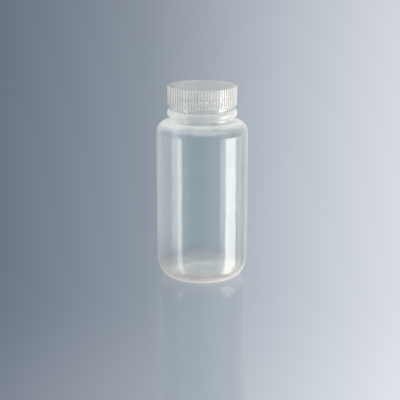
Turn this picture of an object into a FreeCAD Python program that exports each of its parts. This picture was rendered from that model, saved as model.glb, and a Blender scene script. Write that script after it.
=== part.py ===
import FreeCAD, Part
import math
import os
import re
import Sketcher

# A wide-mouth laboratory bottle of 250 ml with a ribbed screw cap and a loose sealing liner.
#
# Millimetres, +Z up. All three pieces are turned about the Z axis, and the origin is the centre of
# the ring that the bottle stands on. Neck and cap carry the same right-hand thread, so the cap rises
# by one pitch for each anticlockwise turn, and the liner rides up inside it.

DIMENSIONS = {
    # bottle, outside
    "body_radius": 30.5,
    "foot_inner_radius": 18.3,
    "push_up_height": 2.2,
    "corner_low_radius": 8.2,
    "corner_high_radius": 19.3,
    "corner_join_angle": 29.07,
    "shoulder_base_z": 99.3,
    "shoulder_radius": 7.7,
    "throat_radius": 21.3,
    "throat_fillet": 1.2,
    "bead_radius": 23.15,
    "bead_round": 0.9,
    "bead_slope": 40.0,
    "bead_foot_z": 109.4,
    "bead_top_z": 114.2,
    "neck_radius": 19.8,
    "rim_z": 128.5,
    "rim_round": 0.45,
    # bottle, inside
    "wall": 1.3,
    "base_wall": 1.7,
    "mouth_radius": 18.2,
    "mouth_taper_z": 113.5,
    "throat_bore_radius": 19.6,
    "throat_bore_z": 110.2,
    "throat_inner_round": 1.5,
    # threads
    "thread_pitch": 4.233,
    "thread_bite": 0.25,
    "neck_thread_crest_radius": 21.0,
    "neck_thread_root_width": 2.4,
    "neck_thread_crest_width": 1.1,
    "neck_thread_z": 118.4,
    "neck_thread_turns": 1.7,
    "cap_thread_crest_radius": 20.2,
    "cap_thread_root_width": 2.1,
    "cap_thread_crest_width": 0.9,
    "cap_thread_drop": 1.73,
    "cap_thread_turns": 2.1,
    # cap
    "rib_radius": 23.05,
    "rib_foot_z": 117.6,
    "rib_count": 70,
    "groove_radius": 0.58,
    "band_radius": 22.5,
    "band_foot_radius": 22.2,
    "cap_bottom_z": 115.2,
    "cap_bottom_round": 0.25,
    "cap_edge_z": 130.3,
    "cap_top_z": 131.3,
    "cap_top_radius": 20.5,
    "cap_bore_radius": 21.35,
    "cap_lead_in": 0.3,
    "gate_radius": 1.5,
    "gate_depth": 0.3,
    # liner
    "liner_radius": 20.9,
    "liner_thickness": 1.0,
    "seat_gap": 0.05,
}

PARTS_FOLDER = "parts"
FULL_TURN = 360.0
LEFT, RIGHT = True, False  # which side of the way along an arc its centre lies on
START, END, CENTRE = 1, 2, 3  # how Sketcher numbers the points of an edge
SKETCH_ORIGIN = (-1, START)
ACROSS_AXIS, UP_AXIS = -1, -2  # how Sketcher numbers a sketch's own axes
UPRIGHT = FreeCAD.Vector(0, 0, 1)

doc = FreeCAD.newDocument("wide_mouth_bottle")
dims = doc.addObject("Spreadsheet::Sheet", "Dims")
for row, (alias, number) in enumerate(DIMENSIONS.items(), start=1):
    dims.set(f"A{row}", alias)
    dims.set(f"B{row}", str(number))
    dims.setAlias(f"B{row}", alias)
doc.recompute()


def bound(expression):
    """The expression with each dimension's name pointing at its cell in the sheet."""
    return re.sub(r"[a-z_]{4,}", lambda m: f"Dims.{m[0]}" if m[0] in DIMENSIONS else m[0], expression)


def number_from(expression):
    """What an expression of dimensions comes to, from the sheet."""
    return float(dims.evalExpression(bound(expression)))


def new_body(name):
    """An empty body whose label names its node."""
    body = doc.addObject("PartDesign::Body", name)
    body.Label = name
    return body


def origin_feature(body, role):
    """One of a body's own origin planes or axes."""
    return next(f for f in body.Origin.OriginFeatures if f.Role == role)


def new_sketch(body, name, role):
    """A sketch on one of a body's own origin planes."""
    sketch = body.newObject("Sketcher::SketchObject", name)
    sketch.AttachmentSupport = [(origin_feature(body, role), "")]
    sketch.MapMode = "FlatFace"
    return sketch


def constrain(sketch, constraint, expression):
    """Adds a constraint whose value follows an expression of dimensions."""
    index = sketch.addConstraint(constraint)
    sketch.setExpression(f"Constraints[{index}]", bound(expression))


def place(sketch, edge, end, across, up):
    """Ties one end of an edge to two expressions, measured from the sketch's origin."""
    if across == "0":
        sketch.addConstraint(Sketcher.Constraint("PointOnObject", edge, end, UP_AXIS))
    else:
        value = number_from(across)
        constrain(sketch, Sketcher.Constraint("DistanceX", *SKETCH_ORIGIN, edge, end, value), across)
    if up == "0":
        sketch.addConstraint(Sketcher.Constraint("PointOnObject", edge, end, ACROSS_AXIS))
    else:
        value = number_from(up)
        constrain(sketch, Sketcher.Constraint("DistanceY", *SKETCH_ORIGIN, edge, end, value), up)


def arc_between(start, end, radius, side):
    """The shorter arc of a radius from start to end, with its centre on the given side."""
    chord = (end - start) / 2
    rise = math.sqrt(radius ** 2 - chord.Length ** 2)
    across = FreeCAD.Vector(-chord.y, chord.x, 0).normalize()
    centre = start + chord + across * (rise if side == LEFT else -rise)
    first, last = (start, end) if side == LEFT else (end, start)
    from_angle = math.atan2(first.y - centre.y, first.x - centre.x)
    to_angle = math.atan2(last.y - centre.y, last.x - centre.x)
    if to_angle < from_angle:
        to_angle += 2 * math.pi
    circle = Part.Circle(centre, UPRIGHT, radius)
    return Part.ArcOfCircle(circle, from_angle, to_angle)


def draw(sketch, corners):
    """A closed outline through corners given as expressions of the dimensions.

    A corner (across, up) starts a straight edge to the next corner, and a corner
    (across, up, radius, side) starts an arc to it.
    """
    points = [FreeCAD.Vector(number_from(c[0]), number_from(c[1]), 0) for c in corners]
    ends = []
    for corner, start, end in zip(corners, points, points[1:] + points[:1]):
        if len(corner) == 2:
            ends.append((sketch.addGeometry(Part.LineSegment(start, end), False), START, END))
            continue
        _, _, radius, side = corner
        edge = sketch.addGeometry(arc_between(start, end, number_from(radius), side), False)
        ends.append((edge, START, END) if side == LEFT else (edge, END, START))
    for (edge, _, last), (following, first, _) in zip(ends, ends[1:] + ends[:1]):
        sketch.addConstraint(Sketcher.Constraint("Coincident", edge, last, following, first))
    for (edge, first, _), corner in zip(ends, corners):
        place(sketch, edge, first, corner[0], corner[1])
        if len(corner) == 4:
            value = number_from(corner[2])
            constrain(sketch, Sketcher.Constraint("Radius", edge, value), corner[2])


def turn(body, name, corners):
    """Joins to a body the solid turned from an outline about the Z axis."""
    sketch = new_sketch(body, f"{name}_outline", "XZ_Plane")
    draw(sketch, corners)
    turned = body.newObject("PartDesign::Revolution", name)
    turned.Profile = sketch
    turned.ReferenceAxis = (sketch, ["V_Axis"])
    turned.Angle = FULL_TURN
    doc.recompute()


def thread(body, name, root, crest, root_width, crest_width, middle, turns):
    """Joins to a body a right-hand ridge that starts on +X with its middle at a height."""
    sketch = new_sketch(body, f"{name}_outline", "XZ_Plane")
    outline = [
        (root, f"{middle} - {root_width} / 2"),
        (crest, f"{middle} - {crest_width} / 2"),
        (crest, f"{middle} + {crest_width} / 2"),
        (root, f"{middle} + {root_width} / 2"),
    ]
    draw(sketch, outline)
    ridge = body.newObject("PartDesign::AdditiveHelix", name)
    ridge.Profile = sketch
    ridge.ReferenceAxis = (sketch, ["V_Axis"])
    ridge.Mode = "pitch-turns-angle"
    ridge.LeftHanded = False
    ridge.setExpression("Pitch", bound("thread_pitch"))
    ridge.setExpression("Turns", bound(turns))
    doc.recompute()


# ---- the bottle: one blow-moulded wall from the pushed-up base to the threaded neck

# The bottom corner is two tangent arcs, a tight one on the ring and a slack one up to the wall.
corner_centre_r = "(body_radius - corner_high_radius)"
corner_step = "(corner_high_radius - corner_low_radius)"
join_cos = "cos(corner_join_angle * 1deg)"
join_sin = "sin(corner_join_angle * 1deg)"
foot_r = f"{corner_centre_r} + {corner_step} * {join_cos}"
corner_top_z = f"corner_low_radius + {corner_step} * {join_sin}"
corner_inner_radius = "(corner_high_radius - wall)"

# A small fillet runs from the shoulder arc into the throat.
shoulder_r = "(body_radius - shoulder_radius)"
fillet_reach = "(shoulder_radius + throat_fillet)"
fillet_r = f"(throat_radius + throat_fillet - {shoulder_r})"
fillet_z = f"sqrt({fillet_reach} ^ 2 - {fillet_r} ^ 2)"
fillet_part = f"shoulder_radius / {fillet_reach}"
ceiling_z = "shoulder_base_z + shoulder_radius - wall"

# The bead's sloping underside rounds over into its edge.
slope_sin = "sin(bead_slope * 1deg)"
slope_cos = "cos(bead_slope * 1deg)"
slope_end_r = f"bead_radius - bead_round * (1 - {slope_sin})"
slope_end_z = f"bead_foot_z + ({slope_end_r} - throat_radius) * {slope_sin} / {slope_cos}"

outer_dome = "(foot_inner_radius ^ 2 + push_up_height ^ 2) / (2 * push_up_height)"
inner_rise = "(push_up_height + base_wall - wall)"
inner_dome = f"(foot_inner_radius ^ 2 + {inner_rise} ^ 2) / (2 * {inner_rise})"

bottle = new_body("bottle")
bottle_outline = [
    ("0", "push_up_height", outer_dome, RIGHT),
    ("foot_inner_radius", "0"),
    (foot_r, "0", "corner_low_radius", LEFT),
    (
        f"{corner_centre_r} + corner_high_radius * {join_cos}",
        f"{corner_top_z} - corner_high_radius * {join_sin}",
        "corner_high_radius",
        LEFT,
    ),
    ("body_radius", corner_top_z),
    ("body_radius", "shoulder_base_z", "shoulder_radius", LEFT),
    (
        f"{shoulder_r} + {fillet_part} * {fillet_r}",
        f"shoulder_base_z + {fillet_part} * {fillet_z}",
        "throat_fillet",
        RIGHT,
    ),
    ("throat_radius", f"shoulder_base_z + {fillet_z}"),
    ("throat_radius", "bead_foot_z"),
    (slope_end_r, slope_end_z, "bead_round", LEFT),
    ("bead_radius", f"{slope_end_z} + bead_round * {slope_cos}"),
    ("bead_radius", "bead_top_z - bead_round", "bead_round", LEFT),
    ("bead_radius - bead_round", "bead_top_z"),
    ("neck_radius", "bead_top_z"),
    ("neck_radius", "rim_z - rim_round", "rim_round", LEFT),
    ("neck_radius - rim_round", "rim_z"),
    ("mouth_radius + rim_round", "rim_z", "rim_round", LEFT),
    ("mouth_radius", "rim_z - rim_round"),
    ("mouth_radius", "mouth_taper_z"),
    ("throat_bore_radius", "throat_bore_z"),
    ("throat_bore_radius", f"{ceiling_z} + throat_inner_round", "throat_inner_round", LEFT),
    ("throat_bore_radius + throat_inner_round", ceiling_z),
    (shoulder_r, ceiling_z, "shoulder_radius - wall", RIGHT),
    ("body_radius - wall", "shoulder_base_z"),
    ("body_radius - wall", corner_top_z, corner_inner_radius, RIGHT),
    (
        f"{corner_centre_r} + {corner_inner_radius} * {join_cos}",
        f"{corner_top_z} - {corner_inner_radius} * {join_sin}",
        "corner_low_radius - wall",
        RIGHT,
    ),
    (foot_r, "wall"),
    ("foot_inner_radius", "wall", inner_dome, LEFT),
    ("0", "push_up_height + base_wall"),
]
turn(bottle, "bottle_wall", bottle_outline)
thread(
    bottle,
    "neck_thread",
    "neck_radius - thread_bite",
    "neck_thread_crest_radius",
    "neck_thread_root_width",
    "neck_thread_crest_width",
    "neck_thread_z",
    "neck_thread_turns",
)

# ---- the screw cap: a ribbed skirt over a plain band, with a thread inside

liner_base_z = "rim_z + seat_gap"
cap_ceiling_z = f"{liner_base_z} + liner_thickness + seat_gap"
edge_drop = "(cap_top_z - cap_edge_z)"
edge_reach = "(rib_radius - cap_top_radius)"
edge_radius = f"({edge_reach} ^ 2 + {edge_drop} ^ 2) / (2 * {edge_drop})"

cap = new_body("screw_cap")
cap_outline = [
    ("0", "cap_top_z - gate_depth"),
    ("0", cap_ceiling_z),
    ("cap_bore_radius", cap_ceiling_z),
    ("cap_bore_radius", "cap_bottom_z + cap_lead_in"),
    ("cap_bore_radius + cap_lead_in", "cap_bottom_z"),
    ("band_foot_radius - cap_bottom_round", "cap_bottom_z", "cap_bottom_round", LEFT),
    ("band_foot_radius", "cap_bottom_z + cap_bottom_round"),
    ("band_radius", "rib_foot_z"),
    ("rib_radius", "rib_foot_z + rib_radius - band_radius"),
    ("rib_radius", "cap_edge_z", edge_radius, LEFT),
    ("cap_top_radius", "cap_top_z"),
    ("gate_radius + gate_depth", "cap_top_z"),
    ("gate_radius", "cap_top_z - gate_depth"),
]
turn(cap, "cap_shell", cap_outline)
thread(
    cap,
    "cap_thread",
    "cap_bore_radius + thread_bite",
    "cap_thread_crest_radius",
    "cap_thread_root_width",
    "cap_thread_crest_width",
    "neck_thread_z - cap_thread_drop",
    "cap_thread_turns",
)

# Half-round grooves run down to the band and leave the grip ribs standing between them.
groove_sketch = new_sketch(cap, "groove_outline", "XY_Plane")
groove_sketch.setExpression("AttachmentOffset.Base.z", bound("cap_top_z"))
groove_middle = "band_radius + groove_radius"
groove_round = number_from("groove_radius")
groove_circle = Part.Circle(FreeCAD.Vector(number_from(groove_middle), 0, 0), UPRIGHT, groove_round)
groove_edge = groove_sketch.addGeometry(groove_circle, False)
place(groove_sketch, groove_edge, CENTRE, groove_middle, "0")
constrain(groove_sketch, Sketcher.Constraint("Radius", groove_edge, groove_round), "groove_radius")
doc.recompute()
groove = cap.newObject("PartDesign::Pocket", "grip_groove")
groove.Profile = groove_sketch
groove.setExpression("Length", bound("cap_top_z - rib_foot_z"))
doc.recompute()
ribs = cap.newObject("PartDesign::PolarPattern", "grip_ribs")
ribs.Originals = [groove]
ribs.Axis = (origin_feature(cap, "Z_Axis"), [""])
ribs.Angle = FULL_TURN
ribs.setExpression("Occurrences", bound("rib_count"))
cap.Tip = ribs
doc.recompute()

# ---- the liner: a loose soft disc that the cap presses on the rim

liner = new_body("sealing_liner")
liner_outline = [
    ("0", liner_base_z),
    ("liner_radius", liner_base_z),
    ("liner_radius", f"{liner_base_z} + liner_thickness"),
    ("0", f"{liner_base_z} + liner_thickness"),
]
turn(liner, "liner_disc", liner_outline)

# ---- checks, then one file for each node

for item in doc.Objects:
    if "Invalid" in item.State or "Error" in item.State:
        raise RuntimeError(f"{item.Label} did not build: {item.State}")

os.makedirs(PARTS_FOLDER, exist_ok=True)
for piece in (bottle, cap, liner):
    if piece.Shape.isNull() or not piece.Shape.isValid() or len(piece.Shape.Solids) != 1:
        raise RuntimeError(f"{piece.Label} is not one valid solid")
    print(piece.Label, "volume", round(piece.Shape.Volume, 1), "cubic mm")
    piece.Shape.exportStep(f"{PARTS_FOLDER}/{piece.Label}.step")
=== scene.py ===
import math

import bpy
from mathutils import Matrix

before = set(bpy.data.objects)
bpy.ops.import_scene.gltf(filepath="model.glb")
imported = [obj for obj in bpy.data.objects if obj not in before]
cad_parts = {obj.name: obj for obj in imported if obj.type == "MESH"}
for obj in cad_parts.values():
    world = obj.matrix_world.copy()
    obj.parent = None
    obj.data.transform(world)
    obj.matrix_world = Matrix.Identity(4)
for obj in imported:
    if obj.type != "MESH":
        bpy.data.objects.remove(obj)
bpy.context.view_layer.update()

# ---- camera: 15 degrees above the level, aimed a little off the bottle's axis

CAMERA_DISTANCE = 0.7336
CAMERA_PITCH = math.radians(14.96)
AIM_HEIGHT = 0.05196
AXIS_OFFSET = -0.00143
LENS_MM = 97.14

camera_data = bpy.data.cameras.new("camera")
camera_data.lens = LENS_MM
camera = bpy.data.objects.new("camera", camera_data)
camera.location = (
    AXIS_OFFSET,
    -CAMERA_DISTANCE * math.cos(CAMERA_PITCH),
    AIM_HEIGHT + CAMERA_DISTANCE * math.sin(CAMERA_PITCH),
)
camera.rotation_euler = (math.pi / 2 - CAMERA_PITCH, 0, 0)
bpy.context.collection.objects.link(camera)
bpy.context.scene.camera = camera
bpy.context.scene.view_settings.view_transform = "Standard"


# ---- helpers for node trees

def new_material(name):
    """An empty node material, and its tree."""
    material = bpy.data.materials.new(name)
    material.use_nodes = True
    material.node_tree.nodes.clear()
    return material, material.node_tree


def feed(tree, socket, source):
    """Links a socket into another, or sets it to a plain number or colour."""
    if isinstance(source, bpy.types.NodeSocket):
        tree.links.new(source, socket)
    elif isinstance(source, tuple) and len(source) == 3 and socket.type == "RGBA":
        socket.default_value = (*source, 1)
    else:
        socket.default_value = source


def add(tree, kind, **sources):
    """A node of a kind, with its inputs fed by name."""
    node = tree.nodes.new(kind)
    for name, source in sources.items():
        feed(tree, node.inputs[name.replace("_", " ")], source)
    return node


def maths(tree, operation, first, second=0.0):
    """A Math node on two values, each a socket or a number."""
    node = tree.nodes.new("ShaderNodeMath")
    node.operation = operation
    feed(tree, node.inputs[0], first)
    feed(tree, node.inputs[1], second)
    return node.outputs[0]


def mapped(tree, value, low, high, to_low=0.0, to_high=1.0):
    """A value moved from one range to another, and kept inside it."""
    node = add(
        tree, "ShaderNodeMapRange",
        Value=value, From_Min=low, From_Max=high, To_Min=to_low, To_Max=to_high,
    )
    return node.outputs["Result"]


def shaded(tree, value, stops):
    """A colour that changes with a value, from (value, colour) stops in rising order."""
    low, high = stops[0][0], stops[-1][0]
    node = add(tree, "ShaderNodeValToRGB", Fac=mapped(tree, value, low, high))
    elements = node.color_ramp.elements
    while len(elements) < len(stops):
        elements.new(0.5)
    for element, (place, colour) in zip(elements, stops):
        element.position = (place - low) / (high - low)
        element.color = (*colour, 1)
    return node.outputs["Color"]


def mixed(tree, share, first, second):
    """Two shaders mixed; a share of 1 is all second."""
    node = add(tree, "ShaderNodeMixShader", Fac=share)
    tree.links.new(first, node.inputs[1])
    tree.links.new(second, node.inputs[2])
    return node.outputs["Shader"]


def axes_of(tree, coordinates):
    """The X, Y and Z sockets of one kind of texture coordinates."""
    place = tree.nodes.new("ShaderNodeTexCoord")
    axes = tree.nodes.new("ShaderNodeSeparateXYZ")
    tree.links.new(place.outputs[coordinates], axes.inputs["Vector"])
    return axes.outputs


def noise(tree, scale, detail, stretch=(1, 1, 1)):
    """Noise over the object's own coordinates, in metres."""
    place = tree.nodes.new("ShaderNodeTexCoord")
    mapping = add(tree, "ShaderNodeMapping", Vector=place.outputs["Object"], Scale=stretch)
    node = add(tree, "ShaderNodeTexNoise", Vector=mapping.outputs["Vector"], Scale=scale, Detail=detail)
    return node.outputs["Fac"]


# ---- plastics

PLASTIC_IOR = 1.49
HEAD_ON_MIRROR = 0.04
GRAZING_MIRROR = 0.5
MIRROR_POWER = 5.0
THINNEST_COSINE = 0.06
NOISE_LOW, NOISE_HIGH = 0.3, 0.7
CLOUD_LOW, CLOUD_HIGH = 0.85, 1.15
CLOUD = {"scale": 90.0, "detail": 3.0, "stretch": (1, 1, 0.35)}
GRAIN = {"scale": 900.0, "detail": 2.0}
RIPPLE = {"scale": 160.0, "detail": 2.0, "stretch": (1, 1, 0.25)}
RIPPLE_STRENGTH = 0.5
NEUTRAL_BLEND = 0.5
FRONT_AND_BACK_SHARE = 0.5


def mirror_share(tree, cosine):
    """The share of light that the skin mirrors, more where it is seen edge on."""
    edge_on = maths(tree, "POWER", maths(tree, "SUBTRACT", 1.0, cosine), MIRROR_POWER)
    return mapped(tree, edge_on, 0.0, 1.0, HEAD_ON_MIRROR, GRAZING_MIRROR)


def milk_share(tree, cosine, milk):
    """The share of light that milky plastic scatters, more where it is seen edge on."""
    path = maths(tree, "DIVIDE", milk, maths(tree, "MAXIMUM", cosine, THINNEST_COSINE))
    return maths(tree, "SUBTRACT", 1.0, maths(tree, "POWER", math.exp(-1), path))


def plastic(name, look):
    """Translucent moulded plastic: clear and milky by share, under a smooth skin.

    milk is a list of (height, strength) stops. tint is one colour or (height, colour) stops.
    bending is the share of the clear light that is refracted, and the rest goes straight on.
    A part with ribs has its milk and bending change between its bore, rib roots and rib crests.
    """
    material, tree = new_material(name)
    axes = axes_of(tree, "Object")
    cloud = noise(tree, **CLOUD)
    grain = noise(tree, **GRAIN)
    ripple = noise(tree, **RIPPLE)

    milk_stops = [(height, (strength,) * 3) for height, strength in look["milk"]]
    milk = shaded(tree, axes["Z"], milk_stops)
    cloudiness = mapped(tree, cloud, NOISE_LOW, NOISE_HIGH, CLOUD_LOW, CLOUD_HIGH)
    milk = maths(tree, "MULTIPLY", milk, cloudiness)
    straight_share = 1 - look["bending"]
    if "ribs" in look:
        ribs = look["ribs"]
        across = maths(tree, "POWER", axes["X"], 2.0)
        along = maths(tree, "POWER", axes["Y"], 2.0)
        radius = maths(tree, "SQRT", maths(tree, "ADD", across, along))
        gain = mapped(tree, radius, ribs["root"], ribs["crest"], 1.0, ribs["crest_gain"])
        milk = maths(tree, "MULTIPLY", milk, gain)
        straight_share = mapped(
            tree, radius, ribs["bore"], ribs["root"], 1 - ribs["bore_bending"], straight_share
        )

    tint = look["tint"]
    if isinstance(tint, list):
        tint = shaded(tree, axes["Z"], tint)
    bent = add(
        tree, "ShaderNodeBsdfRefraction", Color=tint, IOR=PLASTIC_IOR, Roughness=look["blur"]
    )
    straight = add(tree, "ShaderNodeBsdfTransparent", Color=tint)
    light_path = tree.nodes.new("ShaderNodeLightPath")
    unbent = maths(tree, "MAXIMUM", light_path.outputs["Is Shadow Ray"], straight_share)
    clear = mixed(tree, unbent, bent.outputs["BSDF"], straight.outputs["BSDF"])

    colour = shaded(tree, cloud, [(NOISE_LOW, look["dark"]), (NOISE_HIGH, look["light"])])
    front = add(tree, "ShaderNodeBsdfDiffuse", Color=colour)
    through = add(tree, "ShaderNodeBsdfTranslucent", Color=colour)
    scatter = mixed(
        tree, FRONT_AND_BACK_SHARE, front.outputs["BSDF"], through.outputs["BSDF"]
    )

    bump = add(
        tree, "ShaderNodeBump",
        Strength=RIPPLE_STRENGTH, Distance=look["ripple_depth"], Height=ripple,
    )
    gloss = add(
        tree, "ShaderNodeBsdfGlossy",
        Normal=bump.outputs["Normal"],
        Roughness=mapped(tree, grain, NOISE_LOW, NOISE_HIGH, *look["roughness"]),
    )
    layer = add(tree, "ShaderNodeLayerWeight", Blend=NEUTRAL_BLEND)
    cosine = maths(tree, "SUBTRACT", 1.0, layer.outputs["Facing"])
    body = mixed(tree, milk_share(tree, cosine, milk), clear, scatter)
    skin = mixed(tree, mirror_share(tree, cosine), body, gloss.outputs["BSDF"])
    add(tree, "ShaderNodeOutputMaterial", Surface=skin)
    return material


CLEAR_TINT = (0.98, 0.985, 0.985)
MILK_WHITE = (0.93, 0.915, 0.89)
MILK_SHADE = (0.88, 0.86, 0.83)
BODY_TINT = (0.885, 0.925, 0.94)
BOTTLE_LOOK = {
    "milk": [
        (0.0, 0.34),
        (0.0018, 0.19),
        (0.0042, 0.13),
        (0.0065, 0.04),
        (0.017, 0.04),
        (0.04, 0.055),
        (0.1015, 0.065),
        (0.1045, 0.13),
        (0.1065, 0.3),
        (0.1155, 0.38),
        (0.1285, 0.25),
    ],
    "tint": [
        (0.0, (0.9, 0.885, 0.87)),
        (0.005, (0.9, 0.89, 0.88)),
        (0.012, BODY_TINT),
        (0.13, BODY_TINT),
    ],
    "light": MILK_WHITE,
    "dark": MILK_SHADE,
    "roughness": (0.08, 0.13),
    "blur": 0.2,
    "bending": 0.15,
    "ripple_depth": 0.00002,
}
CAP_LOOK = {
    "milk": [(0.115, 0.03), (0.130, 0.03), (0.1308, 0.02), (0.1313, 0.02)],
    "tint": CLEAR_TINT,
    "light": (0.95, 0.95, 0.94),
    "dark": (0.91, 0.91, 0.9),
    "roughness": (0.06, 0.1),
    "blur": 0.06,
    "bending": 0.75,
    "ripple_depth": 0.00001,
    "ribs": {
        "bore": 0.02135,
        "root": 0.0225,
        "crest": 0.02305,
        "crest_gain": 20.0,
        "bore_bending": 0.3,
    },
}
LINER_LOOK = {
    "milk": [(0.1285, 0.03), (0.1296, 0.03)],
    "tint": CLEAR_TINT,
    "light": MILK_WHITE,
    "dark": MILK_SHADE,
    "roughness": (0.4, 0.5),
    "blur": 0.4,
    "bending": 0.3,
    "ripple_depth": 0.00006,
}
MATERIALS = {
    "bottle": plastic("milky_polypropylene", BOTTLE_LOOK),
    "screw_cap": plastic("clearer_polypropylene", CAP_LOOK),
    "sealing_liner": plastic("soft_polyethylene", LINER_LOOK),
}
for node_name, plastic_material in MATERIALS.items():
    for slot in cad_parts[node_name].material_slots:
        slot.material = plastic_material

# ---- stage: a clear gloss floor over a pale blue-grey surround, dark at -X and light at +X

BACKDROP = [
    (-0.7, (0.28, 0.31, 0.34)),
    (-0.4, (0.15, 0.185, 0.24)),
    (-0.19, (0.15, 0.185, 0.24)),
    (-0.05, (0.285, 0.33, 0.39)),
    (0.075, (0.525, 0.58, 0.64)),
    (0.19, (0.75, 0.785, 0.83)),
    (0.44, (0.75, 0.785, 0.83)),
]
DIM_SIDE = (0.64, (0.2, 0.22, 0.23))
FLOOR_RADIUS = 30.0
FLOOR_SIDES = 96
FLOOR_IOR = 2.8
FLOOR_ROUGHNESS = 0.1

bpy.ops.mesh.primitive_circle_add(vertices=FLOOR_SIDES, radius=FLOOR_RADIUS, fill_type="NGON")
floor = bpy.context.object
floor.name = "floor"
floor_gloss, floor_tree = new_material("floor_gloss")
floor_clear = floor_tree.nodes.new("ShaderNodeBsdfTransparent")
floor_mirror = add(floor_tree, "ShaderNodeBsdfGlossy", Roughness=FLOOR_ROUGHNESS)
floor_facing = add(floor_tree, "ShaderNodeFresnel", IOR=FLOOR_IOR)
floor_surface = mixed(
    floor_tree, floor_facing.outputs["Fac"], floor_clear.outputs["BSDF"], floor_mirror.outputs["BSDF"]
)
add(floor_tree, "ShaderNodeOutputMaterial", Surface=floor_surface)
floor.data.materials.append(floor_gloss)
floor.visible_glossy = False
floor.visible_shadow = False

# ---- surround: undimmed where it is seen, directly or through the plastic. Where it is mirrored or
# scattered it is dimmer at the front and at +X, and a glow is added overhead.

FRONT_Y, BACK_Y = -0.5, 0.3
FRONT_STRENGTH, BACK_STRENGTH = 0.35, 1.0
CEILING_LOW, CEILING_HIGH = 0.35, 0.7
CEILING_STRENGTH = 1.2
CEILING_COLOUR = (1.0, 0.98, 0.95)

world = bpy.data.worlds.new("studio")
world.use_nodes = True
sky_tree = world.node_tree
sky_tree.nodes.clear()
sky_axes = axes_of(sky_tree, "Generated")
seen = add(sky_tree, "ShaderNodeBackground", Color=shaded(sky_tree, sky_axes["X"], BACKDROP))
sides = add(
    sky_tree, "ShaderNodeBackground",
    Color=shaded(sky_tree, sky_axes["X"], BACKDROP + [DIM_SIDE]),
    Strength=mapped(sky_tree, sky_axes["Y"], FRONT_Y, BACK_Y, FRONT_STRENGTH, BACK_STRENGTH),
)
ceiling = add(
    sky_tree, "ShaderNodeBackground",
    Color=CEILING_COLOUR,
    Strength=mapped(sky_tree, sky_axes["Z"], CEILING_LOW, CEILING_HIGH, 0.0, CEILING_STRENGTH),
)
lighting = sky_tree.nodes.new("ShaderNodeAddShader")
sky_tree.links.new(sides.outputs["Background"], lighting.inputs[0])
sky_tree.links.new(ceiling.outputs["Background"], lighting.inputs[1])
ray = sky_tree.nodes.new("ShaderNodeLightPath")
is_seen = ray.outputs["Is Camera Ray"]
is_seen_through = ray.outputs["Is Transmission Ray"]
looking = maths(sky_tree, "MAXIMUM", is_seen, is_seen_through)
sky = mixed(sky_tree, looking, lighting.outputs["Shader"], seen.outputs["Background"])
add(sky_tree, "ShaderNodeOutputWorld", Surface=sky)
bpy.context.scene.world = world

# ---- lamps: soft boxes round both sides, wholly below the clear floor, and one over the front

SIDE_LOW, SIDE_HIGH = -1.3, -0.005
MAIN_DISTANCE = 1.2
SPILL_DISTANCE = 1.22
RIGHT_COLOUR = (1.0, 0.94, 0.89)
LEFT_COLOUR = (1.0, 0.88, 0.8)
# name, azimuth, distance, width, radiance and colour; azimuth 0 is the camera's side and 90 is +X
SIDE_BOXES = [
    ("right_box", 78, MAIN_DISTANCE, 0.72, 10.0, RIGHT_COLOUR),
    ("right_spill", 53, SPILL_DISTANCE, 0.3, 1.6, RIGHT_COLOUR),
    ("right_back", 108, SPILL_DISTANCE, 0.57, 1.5, RIGHT_COLOUR),
    ("left_box", -58, MAIN_DISTANCE, 0.26, 5.2, LEFT_COLOUR),
    ("left_spill", -72, SPILL_DISTANCE, 0.57, 1.2, LEFT_COLOUR),
    ("left_back", -108, SPILL_DISTANCE, 0.98, 0.7, LEFT_COLOUR),
]
TOP_PLACE = (0.1, -0.45, 0.8)
TOP_TILT = math.radians(33)
TOP_SIDE = 0.8
TOP_RADIANCE = 1.4
TOP_COLOUR = (1.0, 0.97, 0.94)


def soft_box(name, place, turn, width, height, radiance, colour):
    """A rectangular lamp that lights the bottle and is mirrored in it, but is not itself seen."""
    lamp_data = bpy.data.lights.new(name, "AREA")
    lamp_data.shape = "RECTANGLE"
    lamp_data.size = width
    lamp_data.size_y = height
    lamp_data.energy = radiance * math.pi * width * height
    lamp_data.color = colour
    lamp = bpy.data.objects.new(name, lamp_data)
    lamp.location = place
    lamp.rotation_euler = turn
    lamp.visible_camera = False
    lamp.visible_transmission = False
    bpy.context.collection.objects.link(lamp)


for name, azimuth, distance, width, radiance, colour in SIDE_BOXES:
    angle = math.radians(azimuth)
    middle = (SIDE_LOW + SIDE_HIGH) / 2
    place = (distance * math.sin(angle), -distance * math.cos(angle), middle)
    upright_turn = (math.pi / 2, 0, angle)
    soft_box(name, place, upright_turn, width, SIDE_HIGH - SIDE_LOW, radiance, colour)

soft_box("top_box", TOP_PLACE, (TOP_TILT, 0, 0), TOP_SIDE, TOP_SIDE, TOP_RADIANCE, TOP_COLOUR)
